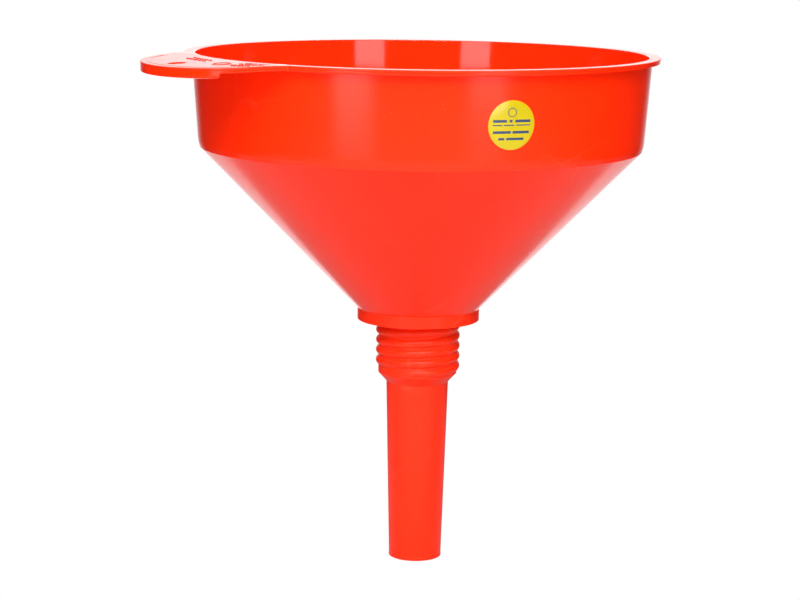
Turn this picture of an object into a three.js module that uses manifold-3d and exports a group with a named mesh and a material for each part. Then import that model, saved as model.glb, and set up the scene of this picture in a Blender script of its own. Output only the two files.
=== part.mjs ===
// A wide-mouthed fuel funnel: a moulded bowl with a hanging tab, a spout that screws into
// the bowl's collar against a seal, a lift-out gauze strainer with a wire bail, and a label.
// Millimetres, +Z up. The origin is on the axis, in the plane of the collar's underside,
// which rests on the neck of a container. The hanging tab points along -X.
import * as THREE from 'three';
import { mergeVertices } from 'three/addons/utils/BufferGeometryUtils.js';
import Module from 'manifold-3d';

const wasm = await Module();
wasm.setup();

// ---------------------------------------------------------------- driving dimensions

const gap = 0.3;                    // between pieces that touch on the real object

const rimRadius = 120;
const rimTop = 136.2;
const flangeThickness = 2.5;
const partingStep = 0.4;            // the flange's lower band is this much smaller
const rimChamfer = 0.3;

const wallThickness = 1.7;
const wallRadiusAtRim = 116.05;
const wallDraft = 0.071;            // radius gained per millimetre of height
const shoulder = { r: 112.1, z: 89.2 };        // outside corner between wall and cone
const shoulderBend = { r: 112.75, z: 91.6 };   // the wall curves in just above it
const shoulderTop = 94;

const coneThickness = 2.3;
const collarRadius = 31.3;
const collarThickness = 2.5;
const floorEdgeZ = 9.0;             // the strainer's ledge, sloping down to the outlet
const floorInnerZ = 8.5;
const outletRadius = 17;
const lipUnderside = 6.9;
const sleeveOuterRadius = 24.2;
const sleeveBore = 20.55;
const collarHollowTop = 6.3;

const tabTipX = 150.2;
const tabTipRadius = 64.6;          // the broad curve of the tab's end
const tabCornerRadius = 32.8;
const tabCornerY = 14.9;
const tabRootHalfAngle = THREE.MathUtils.degToRad(26);
const tabRootRadius = 117.6;        // the plate starts inside the flange
const tabDroopStart = 114;          // from here outwards the tab slopes down
const tabDroopSlope = 0.06;
const skirtDepth = 4.9;
const skirtThickness = 2;
const skirtSpread = THREE.MathUtils.degToRad(47);  // how far round each corner the skirt goes
const hangHole = { x: 138.1, r: 4.2 };
const markHeight = 0.35;
const markWidth = 0.9;
const borderInset = 3.4;
const moldRing = { x: 125.4, y: 20.9, r: 4.6 };

const pitch = 5.25;
const threadHelixRadius = 19.17;
const threadTubeRadius = 2.43;
const threadClearance = 0.4;
const threadZAtZeroAngle = -7.92;   // height of the ridge's centre on the +X side
const threadBottom = -25.8;
const threadTop = 2.3;
const threadFadeTurns = 0.11;       // each end of the ridge sinks into the core over this
const threadSink = 1.6;

const spoutTop = lipUnderside - 2 * gap - 1.1;
const coreRadius = 20.25;
const neckBore = 17.8;
const neckBottom = -27.8;
const tubeTop = { r: 16.0, z: -32.1 };
const tubeEnd = { r: 13.5, z: -125.9 };
const tubeThickness = 1.8;

const strainerRadius = 29.6;
const strainerBottom = floorEdgeZ + 0.2;
const strainerHeight = 3.4;
const channelSheet = 0.7;
const channelFlange = 4.5;
const gauzeThickness = 0.6;
const bailRadius = 26.0;
const bailWire = 0.8;
const bailDroop = 0.6;              // the loop's far side rests lower than its pivots
const lugInnerY = 27.8;
const lugThickness = 1.0;
const lugHalfWidth = 2.2;
const lugHoleRadius = 1.15;
const bailPivotZ = strainerBottom + strainerHeight + 2.0;

const labelRadius = 11.8;
const labelThickness = 0.25;
const labelAngle = THREE.MathUtils.degToRad(-101.6);
const labelZ = 110.6;

const bowlSegments = 64;
const neckSegments = 32;

// ---------------------------------------------------------------- materials

function plasticOrMetal(color, roughness, metalness = 0) {
  return new THREE.MeshStandardMaterial({ color, roughness, metalness });
}

const funnelPlastic = plasticOrMetal(0xf63c1a, 0.35);
const sealRubber = plasticOrMetal(0x1b1b1d, 0.8);
const brass = plasticOrMetal(0xb98b3d, 0.35, 1);
const brassGauze = plasticOrMetal(0xa88442, 0.5, 1);
const labelFilm = plasticOrMetal(0xf0d723, 0.4);

// ---------------------------------------------------------------- solids

function toSolid(geometry) {
  const bare = geometry.clone();
  bare.deleteAttribute('normal');
  bare.deleteAttribute('uv');
  const merged = mergeVertices(bare, 1e-4);
  return new wasm.Manifold(new wasm.Mesh({
    numProp: 3,
    vertProperties: new Float32Array(merged.attributes.position.array),
    triVerts: new Uint32Array(merged.index.array),
  }));
}

function toGeometry(solid) {
  const mesh = solid.getMesh();
  const geometry = new THREE.BufferGeometry();
  geometry.setAttribute('position', new THREE.BufferAttribute(mesh.vertProperties, 3));
  geometry.setIndex(new THREE.BufferAttribute(mesh.triVerts, 1));
  geometry.computeVertexNormals();
  return geometry;
}

// Turns a closed (radius, height) outline about the Z axis.
// The outline runs up the outside and down the inside.
function revolve(outline, segments) {
  const points = outline.map(([r, z]) => new THREE.Vector2(r, z));
  points.push(points[0].clone());
  return new THREE.LatheGeometry(points, segments).rotateX(Math.PI / 2);
}

// A circle as a closed polygon, for outlines and for holes in them.
function circlePoints(x, y, radius, sides) {
  return Array.from({ length: sides }, (_, i) => {
    const angle = (2 * Math.PI * i) / sides;
    return new THREE.Vector2(x + radius * Math.cos(angle), y + radius * Math.sin(angle));
  });
}

function extrudeUp(shape, z, height, curveSegments = 16) {
  const options = { depth: height, bevelEnabled: false, curveSegments };
  return new THREE.ExtrudeGeometry(shape, options).translate(0, 0, z);
}

function roundBarAlong(curve, radius, sides, steps) {
  const section = new THREE.Shape(circlePoints(0, 0, radius, sides));
  return new THREE.ExtrudeGeometry(section, { extrudePath: curve, steps });
}

function namedMesh(name, geometry, material) {
  const mesh = new THREE.Mesh(geometry, material);
  mesh.name = name;
  return mesh;
}

// ---------------------------------------------------------------- thread

// A right-hand helix about Z. Its ends can sink towards the axis, so that the ridge fades out.
class ThreadHelix extends THREE.Curve {
  constructor(bottom, top, sink) {
    super();
    this.bottom = bottom;
    this.top = top;
    this.sink = sink;
    this.arcLengthDivisions = 2000;
  }

  getPoint(t, target = new THREE.Vector3()) {
    const z = THREE.MathUtils.lerp(this.bottom, this.top, t);
    const angle = (2 * Math.PI * (z - threadZAtZeroAngle)) / pitch;
    const turnsToEnd = Math.min(z - this.bottom, this.top - z) / pitch;
    const fade = 1 - THREE.MathUtils.smoothstep(turnsToEnd, 0, threadFadeTurns);
    const r = threadHelixRadius - this.sink * fade;
    return target.set(r * Math.cos(angle), r * Math.sin(angle), z);
  }
}

function threadBar(bottom, top, sink, tubeRadius, sides, stepsPerTurn) {
  const steps = Math.ceil((stepsPerTurn * (top - bottom)) / pitch);
  return roundBarAlong(new ThreadHelix(bottom, top, sink), tubeRadius, sides, steps);
}

// ---------------------------------------------------------------- tab outline

// The tab's half-outline in plan, on its +Y side: a straight flank from the rim, a corner
// arc, and the broad arc of the tip. The plan is drawn with the tip towards +X, and
// extrudeTab turns it round to -X.
const tipCentreX = tabTipX - tabTipRadius;
const cornerSwing = tabTipRadius - tabCornerRadius;
const tipHalfAngle = Math.asin(tabCornerY / cornerSwing);
const cornerX = tipCentreX + cornerSwing * Math.cos(tipHalfAngle);

// The angle on the corner arc where the flank is tangent to it.
function flankAngle() {
  const rootX = rimRadius * Math.cos(tabRootHalfAngle);
  const rootY = rimRadius * Math.sin(tabRootHalfAngle);
  const toCorner = new THREE.Vector2(cornerX - rootX, tabCornerY - rootY);
  const spread = Math.asin(tabCornerRadius / toCorner.length());
  return Math.atan2(toCorner.y, toCorner.x) + spread + Math.PI / 2;
}

const cornerStart = flankAngle();

// Adds the tab's end to a path, from one side round the tip to the other, moved in by inset.
// It starts and ends at the angle start on the corner arcs. Direction +1 goes from +Y to -Y.
function addTabEnd(path, inset, direction, start) {
  const clockwise = direction > 0;
  const corner = tabCornerRadius - inset;
  const tip = tabTipRadius - inset;
  const side = direction;
  const turn = side * tipHalfAngle;
  path.absarc(cornerX, side * tabCornerY, corner, side * start, turn, clockwise);
  path.absarc(tipCentreX, 0, tip, turn, -turn, clockwise);
  path.absarc(cornerX, -side * tabCornerY, corner, -turn, -side * start, clockwise);
  return path;
}

function tabPlan() {
  const root = new THREE.Vector2(tabRootRadius, 0);
  const origin = new THREE.Vector2();
  const lower = root.clone().rotateAround(origin, -tabRootHalfAngle);
  const shape = new THREE.Shape().moveTo(lower.x, lower.y);
  shape.absarc(0, 0, tabRootRadius, -tabRootHalfAngle, tabRootHalfAngle, false);
  addTabEnd(shape, 0, 1, cornerStart);
  shape.closePath();
  shape.holes.push(new THREE.Path(circlePoints(hangHole.x, 0, hangHole.r, 24)));
  return shape;
}

// A band that follows the tab's end between two insets.
function tabBand(outerInset, innerInset, start) {
  const band = addTabEnd(new THREE.Shape(), outerInset, 1, start);
  addTabEnd(band, innerInset, -1, start);
  band.closePath();
  return band;
}

function ringShape(x, y, outer, inner) {
  const shape = new THREE.Shape(circlePoints(x, y, outer, 24));
  shape.holes.push(new THREE.Path(circlePoints(x, y, inner, 24)));
  return shape;
}

function extrudeTab(shape, z, height, curveSegments = 10) {
  return toSolid(extrudeUp(shape, z, height, curveSegments).rotateZ(Math.PI));
}

// Slopes a level tab down from tabDroopStart outwards; its upright faces stay upright.
function droop(tab) {
  const [outer, inner] = tab.splitByPlane([-1, 0, 0], tabDroopStart);
  const sloping = outer.warp((point) => {
    point[2] -= tabDroopSlope * (-point[0] - tabDroopStart);
  });
  return inner.add(sloping);
}

function tabSolid() {
  const plateBottom = rimTop - flangeThickness;
  const markBottom = rimTop - flangeThickness / 2;
  const markDepth = flangeThickness / 2 + markHeight;
  const border = tabBand(borderInset, borderInset + markWidth, cornerStart);
  const ring = ringShape(moldRing.x, moldRing.y, moldRing.r, moldRing.r - markWidth);
  const skirt = tabBand(0, skirtThickness, skirtSpread);
  const level = extrudeTab(tabPlan(), plateBottom, flangeThickness, 16)
    .add(extrudeTab(skirt, rimTop - skirtDepth, skirtDepth - flangeThickness / 2))
    .add(extrudeTab(border, markBottom, markDepth))
    .add(extrudeTab(ring, markBottom, markDepth));
  return droop(level);
}

// ---------------------------------------------------------------- bowl

function wallRadius(z) {
  return wallRadiusAtRim - wallDraft * (rimTop - z);
}

// The cone's inner face is its outer face moved in by coneThickness.
const coneBaseZ = 6.0;
const coneRun = shoulder.r - collarRadius;
const coneRise = shoulder.z - coneBaseZ;
const coneLength = Math.hypot(coneRun, coneRise);
const innerShoulder = {
  r: shoulder.r - (coneThickness * coneRise) / coneLength,
  z: shoulder.z + (coneThickness * coneRun) / coneLength,
};

function coneInnerRadius(z) {
  return innerShoulder.r - ((innerShoulder.z - z) * coneRun) / coneRise;
}

function bowlOutline() {
  const flangeBottom = rimTop - flangeThickness;
  const step = rimTop - flangeThickness / 2;
  const collarInner = collarRadius - collarThickness;
  return [
    [collarRadius, 0],
    [collarRadius, coneBaseZ],
    [shoulder.r, shoulder.z],
    [shoulderBend.r, shoulderBend.z],
    [wallRadius(shoulderTop), shoulderTop],
    [wallRadius(flangeBottom), flangeBottom],
    [rimRadius - partingStep, flangeBottom],
    [rimRadius - partingStep, step],
    [rimRadius, step],
    [rimRadius, rimTop - rimChamfer],
    [rimRadius - rimChamfer, rimTop],
    [wallRadiusAtRim - wallThickness + rimChamfer, rimTop],
    [wallRadiusAtRim - wallThickness, rimTop - rimChamfer],
    [wallRadius(shoulderTop) - wallThickness, shoulderTop],
    [innerShoulder.r, innerShoulder.z],
    [coneInnerRadius(floorEdgeZ), floorEdgeZ],
    [outletRadius, floorInnerZ],
    [outletRadius, lipUnderside],
    [sleeveBore, lipUnderside],
    [sleeveBore, 0],
    [sleeveOuterRadius, 0],
    [sleeveOuterRadius, collarHollowTop],
    [collarInner, collarHollowTop],
    [collarInner, 0],
  ];
}

function buildBowl() {
  const grooveRadius = threadTubeRadius + threadClearance;
  const grooveTop = lipUnderside - grooveRadius;
  const groove = threadBar(-pitch, grooveTop, 0, grooveRadius, 12, 36);
  const solid = toSolid(revolve(bowlOutline(), bowlSegments))
    .add(tabSolid())
    .subtract(toSolid(groove));
  return namedMesh('bowl', toGeometry(solid), funnelPlastic);
}

// ---------------------------------------------------------------- spout and seal

function spoutOutline() {
  const topChamfer = 0.5;
  const chamferFoot = tubeTop.r + (neckBottom - tubeTop.z);
  return [
    [tubeEnd.r, tubeEnd.z],
    [tubeTop.r, tubeTop.z - 1],
    [tubeTop.r + 0.3, tubeTop.z + 0.2],
    [chamferFoot, neckBottom],
    [coreRadius, neckBottom + (coreRadius - chamferFoot)],
    [coreRadius, spoutTop - topChamfer],
    [coreRadius - topChamfer, spoutTop],
    [neckBore, spoutTop],
    [neckBore, neckBottom],
    [tubeTop.r - tubeThickness, tubeTop.z - 1],
    [tubeEnd.r - tubeThickness, tubeEnd.z],
  ];
}

function buildSpout() {
  const thread = threadBar(threadBottom, threadTop, threadSink, threadTubeRadius, 8, 18);
  const core = toSolid(revolve(spoutOutline(), neckSegments));
  return namedMesh('spout', toGeometry(core.add(toSolid(thread))), funnelPlastic);
}

function buildSeal() {
  const outer = coreRadius - 0.2;
  const outline = [
    [outer, spoutTop + gap],
    [outer, lipUnderside - gap],
    [neckBore, lipUnderside - gap],
    [neckBore, spoutTop + gap],
  ];
  return namedMesh('seal_ring', revolve(outline, neckSegments), sealRubber);
}

// ---------------------------------------------------------------- strainer

// A brass strip folded into a channel that is open to the inside and holds the gauze.
function buildStrainerRim() {
  const top = strainerBottom + strainerHeight;
  const webInner = strainerRadius - channelSheet;
  const flangeInner = strainerRadius - channelFlange;
  const outline = [
    [strainerRadius, strainerBottom],
    [strainerRadius, top],
    [flangeInner, top],
    [flangeInner, top - channelSheet],
    [webInner, top - channelSheet],
    [webInner, strainerBottom + channelSheet],
    [flangeInner, strainerBottom + channelSheet],
    [flangeInner, strainerBottom],
  ];
  return namedMesh('strainer_rim', revolve(outline, neckSegments), brass);
}

function buildGauze() {
  const radius = strainerRadius - channelSheet - gap;
  const middle = strainerBottom + strainerHeight / 2;
  const disc = new THREE.CylinderGeometry(radius, radius, gauzeThickness, neckSegments);
  disc.rotateX(Math.PI / 2).translate(0, 0, middle);
  return namedMesh('strainer_gauze', disc, brassGauze);
}

// An upright ear on the rim with a hole for the end of the bail.
function buildLug(name, side) {
  const foot = strainerBottom + strainerHeight + gap;
  const ear = new THREE.Shape().moveTo(lugHalfWidth, foot);
  ear.absarc(0, bailPivotZ, lugHalfWidth, 0, Math.PI, false);
  ear.lineTo(-lugHalfWidth, foot);
  const options = { depth: lugThickness, bevelEnabled: false, curveSegments: 8 };
  const middleY = side * (lugInnerY + lugThickness / 2);
  const plate = new THREE.ExtrudeGeometry(ear, options).rotateX(Math.PI / 2);
  plate.translate(0, middleY + lugThickness / 2, 0);
  const drill = new THREE.CylinderGeometry(lugHoleRadius, lugHoleRadius, 3 * lugThickness, 16);
  drill.translate(0, middleY, bailPivotZ);
  return namedMesh(name, toGeometry(toSolid(plate).subtract(toSolid(drill))), brass);
}

// A wire half-loop that lies on the rim, with its two ends bent out through the lugs.
function bailCurve() {
  const endY = lugInnerY + lugThickness + 0.9;
  const bend = 1.4;
  const arcSteps = 16;
  const points = [new THREE.Vector3(0, -endY, bailPivotZ)];
  points.push(new THREE.Vector3(0, -bailRadius - bend, bailPivotZ));
  for (let i = 0; i <= arcSteps; i += 1) {
    const swing = THREE.MathUtils.lerp(0.06, Math.PI - 0.06, i / arcSteps) - Math.PI / 2;
    const x = bailRadius * Math.cos(swing);
    const y = bailRadius * Math.sin(swing);
    points.push(new THREE.Vector3(x, y, bailPivotZ - (bailDroop * x) / bailRadius));
  }
  points.push(new THREE.Vector3(0, bailRadius + bend, bailPivotZ));
  points.push(new THREE.Vector3(0, endY, bailPivotZ));
  return new THREE.CatmullRomCurve3(points);
}

function buildBail() {
  return namedMesh('strainer_bail', roundBarAlong(bailCurve(), bailWire, 8, 40), brass);
}

// ---------------------------------------------------------------- label

// A round sticker that follows the curve of the wall.
function buildLabel() {
  const low = labelZ - labelRadius - 2;
  const high = labelZ + labelRadius + 2;
  const inner = 0.15;
  const outer = inner + labelThickness;
  const shell = revolve([
    [wallRadius(low) + outer, low],
    [wallRadius(high) + outer, high],
    [wallRadius(high) + inner, high],
    [wallRadius(low) + inner, low],
  ], bowlSegments);
  const punch = new THREE.CylinderGeometry(labelRadius, labelRadius, 20, 36);
  punch.rotateZ(Math.PI / 2).translate(wallRadius(labelZ), 0, labelZ).rotateZ(labelAngle);
  return namedMesh('label', toGeometry(toSolid(shell).intersect(toSolid(punch))), labelFilm);
}

// ---------------------------------------------------------------- assembly

const funnel = new THREE.Group();
funnel.add(
  buildBowl(),
  buildSpout(),
  buildSeal(),
  buildStrainerRim(),
  buildGauze(),
  buildLug('bail_lug_left', -1),
  buildLug('bail_lug_right', 1),
  buildBail(),
  buildLabel(),
);

export default funnel;
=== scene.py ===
"""The looks of a wide-mouthed fuel funnel: moulded bowl with a hanging tab, screw-in spout,
seal, brass gauze strainer with a wire bail, and a printed label.

Lengths are in millimetres and are turned into metres when they are used. The sizes and places of
the lamps, and of the floor in plan, are in metres.
"""
import math

import bmesh
import bpy
from mathutils import Matrix, Vector


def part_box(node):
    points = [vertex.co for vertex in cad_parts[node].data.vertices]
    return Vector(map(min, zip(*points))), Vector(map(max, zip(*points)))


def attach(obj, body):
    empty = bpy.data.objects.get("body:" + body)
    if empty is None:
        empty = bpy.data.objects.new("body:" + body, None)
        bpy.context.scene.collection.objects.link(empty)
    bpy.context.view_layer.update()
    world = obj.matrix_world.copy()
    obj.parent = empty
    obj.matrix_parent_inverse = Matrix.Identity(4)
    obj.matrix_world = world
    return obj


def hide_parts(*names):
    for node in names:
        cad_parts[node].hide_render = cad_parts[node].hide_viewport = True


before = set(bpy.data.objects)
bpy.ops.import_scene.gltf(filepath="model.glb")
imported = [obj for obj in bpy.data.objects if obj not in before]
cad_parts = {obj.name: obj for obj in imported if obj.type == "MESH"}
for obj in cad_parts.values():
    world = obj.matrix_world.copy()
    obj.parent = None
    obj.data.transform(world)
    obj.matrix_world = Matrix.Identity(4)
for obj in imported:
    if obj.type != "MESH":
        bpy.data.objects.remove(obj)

MM = 0.001
TAU = 2 * math.pi
SMOOTH_ANGLE = 32                        # degrees; sharper edges are shaded as edges
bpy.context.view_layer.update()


# ------------------------------------------------------------------ sizes, in millimetres

def top_of(node):
    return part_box(node)[1].z / MM


def bottom_of(node):
    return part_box(node)[0].z / MM


RIM_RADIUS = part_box("bowl")[1].x / MM
TAB_TIP_X = -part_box("bowl")[0].x / MM
SPOUT_END_Z = bottom_of("spout")
SPOUT_TOP_Z = top_of("spout")
FLOOR_Z = SPOUT_END_Z - 8.0              # low enough for the spout to be screwed down

RIM_TOP = top_of("bowl")
FLANGE_THICKNESS = 2.5
FLANGE_UNDER = RIM_TOP - FLANGE_THICKNESS
PARTING_Z = RIM_TOP - FLANGE_THICKNESS / 2
RIM_STEP = 0.2
TAB_STEP = 0.1

WALL_THICKNESS = 1.7
WALL_RADIUS_AT_RIM = 116.05
WALL_DRAFT = 0.071
SHOULDER = (112.1, 89.2)                 # radius, height
SHOULDER_BEND = (112.75, 91.6)           # radius, height
SHOULDER_TOP = 94.0
CONE_THICKNESS = 2.3
CONE_BASE_Z = 6.0
COLLAR_RADIUS = 31.3
COLLAR_THICKNESS = 2.5
COLLAR_HOLLOW_TOP = 6.3
FLOOR_EDGE_Z = 9.0
FLOOR_INNER_Z = 8.5
OUTLET_RADIUS = 17.0
LIP_UNDERSIDE = 6.9
SLEEVE_OUTER = 24.2
SLEEVE_BORE = 20.55

TAB_TIP_RADIUS = 64.6
TAB_CORNER_RADIUS = 32.8
TAB_CORNER_Y = 14.9
TAB_ROOT_ANGLE = math.radians(26)
TAB_ROOT_FILLET = 2.0
TAB_DROOP_START = 114.0                  # from here outwards the tab slopes down
TAB_DROOP_SLOPE = 0.06
SKIRT_DEPTH = 4.9
SKIRT_THICKNESS = 2.0
SKIRT_SPREAD = math.radians(47)          # how far round each corner the skirt goes
SKIRT_END_ROUND = 1.0
HANG_HOLE_X = 138.1
HANG_HOLE_RADIUS = 4.2
BORDER_INSET = 3.4
BORDER_WIDTH = 0.9
BORDER_HEIGHT = 0.12
MOLD_RING = (-125.4, -20.9)              # x, y of its middle
MOLD_RING_RADIUS = 4.6
MOLD_RING_WIDTH = 0.7
MOLD_RING_HEIGHT = 0.2
MARK_HEIGHT = 0.35                       # raised dashes on the tab
MARK_ROOT = 0.3                          # how deep the marks reach into the tab

PITCH = 5.25
THREAD_HELIX_RADIUS = 19.17
THREAD_TUBE = 2.43
THREAD_CLEARANCE = 0.4
THREAD_Z_AT_ZERO = -7.92
THREAD_BOTTOM = -25.8
THREAD_TOP = 2.3
THREAD_FADE_TURNS = 0.11
THREAD_SINK = 1.6
THREAD_BLEND = 0.28
CORE_RADIUS = 20.25
NECK_BORE = 17.8
NECK_BOTTOM = -27.8
TUBE_TOP = (16.0, -32.1)                 # radius, height
TUBE_END_RADIUS = 13.5
TUBE_THICKNESS = 1.8

STRAINER_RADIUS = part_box("strainer_rim")[1].x / MM
STRAINER_BOTTOM = bottom_of("strainer_rim")
STRAINER_TOP = top_of("strainer_rim")
CHANNEL_SHEET = 0.7
CHANNEL_FLANGE = 4.5
BAIL_RADIUS = 26.0
BAIL_WIRE = 0.8
BAIL_DROOP = 0.6
BAIL_PIVOT_Z = STRAINER_TOP + 2.0
LUG_INNER_Y = 27.8
LUG_THICKNESS = 1.0
LUG_HALF_WIDTH = 2.2
LUG_HOLE_RADIUS = 1.15
GAUZE_PITCH = 1.05
GAUZE_WIRE = 0.21

LABEL_RADIUS = 11.55
LABEL_ANGLE = math.radians(-101.6)
LABEL_Z = (top_of("label") + bottom_of("label")) / 2

CAMERA_DISTANCE = 1135.0
CAMERA_HEIGHT = 209.1
CAMERA_TURN = math.radians(-33.0)        # the camera stands this far round from -Y
CAMERA_AIM_LEFT = math.radians(0.479)
CAMERA_PITCH = math.radians(9.978)
CAMERA_ROLL = math.radians(0.78)
CAMERA_LENS = 100.67

SWEEP_EDGE = math.cos(math.radians(27))  # cosine of the white sweep's half-width behind the funnel
SWEEP_FALLOFF = 2.6
SWEEP_LIGHT = 1.6
SWEEP_EDGE_LIGHT = 0.18
SWEEP_DIP = (-0.26, -0.44)               # sines of the heights between which its lower part sets in
SWEEP_UNDER_TURN = math.radians(3)       # the lower part lies this far to the right
SWEEP_UNDER_EDGES = (0.5, 0.9)           # cosines between which the lower part fades in sideways
SWEEP_UNDER_LIGHT = 1.1
ROOM_LIGHT = 0.03

# these are in metres
SOFT_BOX_MIDDLE = 0.485
SOFT_BOX_TALL = 1.03
FLOOR_HALF_WIDTH = 1.0
FLOOR_HALF_DEPTH = 0.80
FLOOR_FORWARD = 0.50                     # from the funnel towards the camera, to the floor's middle
FLOOR_CARD_FORWARD = 0.48
FLOOR_CARD_SIZE = (1.2, 0.7)

FLOOR_CARD_POWER = 1.3                   # watts


# ------------------------------------------------------------------ materials

class Nodes:
    """A short way to write a material's nodes."""

    def __init__(self, name):
        self.material = bpy.data.materials.new(name)
        self.material.use_nodes = True
        self.tree = self.material.node_tree
        self.shader = self.tree.nodes["Principled BSDF"]
        self.coords = self.add("ShaderNodeTexCoord").outputs["Object"]

    def add(self, kind, **settings):
        node = self.tree.nodes.new(kind)
        for key, value in settings.items():
            if key.startswith("in_"):
                node.inputs[key[3:].replace("_", " ")].default_value = value
            else:
                setattr(node, key, value)
        return node

    def link(self, source, target):
        self.tree.links.new(source, target)
        return target

    def noise(self, scale, detail=3.0, roughness=0.5):
        node = self.add("ShaderNodeTexNoise", in_Scale=scale, in_Detail=detail, in_Roughness=roughness)
        self.link(self.coords, node.inputs["Vector"])
        return node.outputs["Fac"]

    def hairlines(self, scale, width):
        """Thin wandering lines: 1 on a line, 0 away from it."""
        bend = self.add("ShaderNodeTexNoise", in_Scale=scale * 1.7, in_Detail=3.0)
        self.link(self.coords, bend.inputs["Vector"])
        shift = self.add("ShaderNodeVectorMath", operation="MULTIPLY_ADD")
        shift.inputs[1].default_value = (0.05, 0.05, 0.05)
        self.link(bend.outputs["Color"], shift.inputs[0])
        self.link(self.coords, shift.inputs[2])
        cells = self.add("ShaderNodeTexVoronoi", feature="DISTANCE_TO_EDGE", in_Scale=scale)
        self.link(shift.outputs["Vector"], cells.inputs["Vector"])
        return self.ramp(cells.outputs["Distance"], 0.0, width, 1.0, 0.0)

    def ramp(self, source, low, high, to_low=0.0, to_high=1.0):
        node = self.add(
            "ShaderNodeMapRange", clamp=True,
            in_From_Min=low, in_From_Max=high, in_To_Min=to_low, in_To_Max=to_high,
        )
        self.link(source, node.inputs["Value"])
        return node.outputs["Result"]

    def math(self, operation, a, b=None):
        node = self.add("ShaderNodeMath", operation=operation)
        for socket, value in zip(node.inputs, (a, b)):
            if isinstance(value, (int, float)):
                socket.default_value = value
            elif value is not None:
                self.link(value, socket)
        return node.outputs["Value"]

    def mix(self, factor, a, b):
        node = self.add("ShaderNodeMix", data_type="RGBA")
        if isinstance(factor, (int, float)):
            node.inputs["Factor"].default_value = factor
        else:
            self.link(factor, node.inputs["Factor"])
        for key, value in (("A", a), ("B", b)):
            socket = [s for s in node.inputs if s.name == key and s.type == "RGBA"][0]
            if isinstance(value, tuple):
                socket.default_value = (*value, 1)
            else:
                self.link(value, socket)
        return [s for s in node.outputs if s.type == "RGBA"][0]

    def bump(self, height, strength, distance, normal=None):
        node = self.add("ShaderNodeBump", in_Strength=strength, in_Distance=distance)
        self.link(height, node.inputs["Height"])
        if normal is not None:
            self.link(normal, node.inputs["Normal"])
        return node.outputs["Normal"]

    def set(self, **values):
        for key, value in values.items():
            socket = self.shader.inputs[key.replace("_", " ")]
            if hasattr(value, "is_output"):
                self.link(value, socket)
            elif isinstance(value, tuple):
                socket.default_value = (*value, 1) if len(value) == 3 and socket.type == "RGBA" else value
            else:
                socket.default_value = value
        return self.material

    def white_to_the_camera(self):
        """Adds a plain white that only the camera sees, as on a studio's overexposed backdrop."""
        glow = self.add("ShaderNodeEmission")
        path = self.add("ShaderNodeLightPath")
        mix = self.add("ShaderNodeMixShader")
        self.link(path.outputs["Is Camera Ray"], mix.inputs["Fac"])
        self.link(self.shader.outputs["BSDF"], mix.inputs[1])
        self.link(glow.outputs["Emission"], mix.inputs[2])
        self.link(mix.outputs["Shader"], self.tree.nodes["Material Output"].inputs["Surface"])
        return self.material


def moulded_plastic(name, smoothest, roughest, waviness, ior):
    """Bright orange-red polyethylene with a faint orange peel, flow clouds and specks."""
    n = Nodes(name)
    clouds = n.ramp(n.noise(14, 4, 0.55), 0.3, 0.7)
    base = n.mix(clouds, (0.93, 0.0205, 0.0009), (0.97, 0.0240, 0.0015))
    specks = n.ramp(n.noise(900, 1, 0.3), 0.75, 0.77)
    scuffs = n.math("MULTIPLY", n.hairlines(16, 0.012), n.ramp(n.noise(9, 2), 0.52, 0.62))
    marks = n.math("MAXIMUM", n.math("MULTIPLY", specks, 0.22), n.math("MULTIPLY", scuffs, 0.10))
    colour = n.mix(marks, base, (0.95, 0.16, 0.08))
    roughness = n.ramp(n.noise(60, 5, 0.6), 0.3, 0.7, smoothest, roughest)
    peel = n.bump(n.noise(420, 2, 0.5), 0.06, 0.00006)
    normal = n.bump(n.noise(38, 2, 0.4), waviness, 0.00030, peel)
    return n.set(
        Base_Color=colour, Roughness=roughness, Normal=normal, IOR=ior,
        Subsurface_Weight=0.06, Subsurface_Radius=(1.0, 0.06, 0.02), Subsurface_Scale=0.0015,
    )


def rubber(name):
    n = Nodes(name)
    tone = n.ramp(n.noise(260, 3), 0.3, 0.7)
    colour = n.mix(tone, (0.014, 0.014, 0.016), (0.032, 0.031, 0.032))
    roughness = n.ramp(n.noise(500, 3), 0.3, 0.7, 0.5, 0.72)
    normal = n.bump(n.noise(1400, 2), 0.25, 0.0001)
    return n.set(Base_Color=colour, Roughness=roughness, Normal=normal)


def brass(name, bright, dull, smoothest, roughest, grain):
    """Brass with clouds of tarnish; a higher grain makes finer bumps."""
    n = Nodes(name)
    tarnish = n.ramp(n.noise(70, 5, 0.6), 0.35, 0.68)
    colour = n.mix(tarnish, bright, dull)
    roughness = n.ramp(n.noise(180, 4, 0.6), 0.3, 0.7, smoothest, roughest)
    normal = n.bump(n.noise(grain, 2, 0.5), 0.2, 0.00006)
    return n.set(Base_Color=colour, Roughness=roughness, Normal=normal, Metallic=1.0)


def label_film(name):
    n = Nodes(name)
    tone = n.ramp(n.noise(120, 3), 0.3, 0.7)
    colour = n.mix(tone, (0.42, 0.325, 0.004), (0.45, 0.350, 0.007))
    roughness = n.ramp(n.noise(300, 3), 0.3, 0.7, 0.09, 0.14)
    normal = n.bump(n.noise(900, 2), 0.12, 0.0001)
    return n.set(Base_Color=colour, Roughness=roughness, Normal=normal, IOR=1.45)


def printing_ink(name, dark, light):
    n = Nodes(name)
    tone = n.ramp(n.noise(1500, 2), 0.35, 0.65)
    roughness = n.ramp(n.noise(700, 2), 0.3, 0.7, 0.35, 0.5)
    return n.set(Base_Color=n.mix(tone, dark, light), Roughness=roughness)


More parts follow.
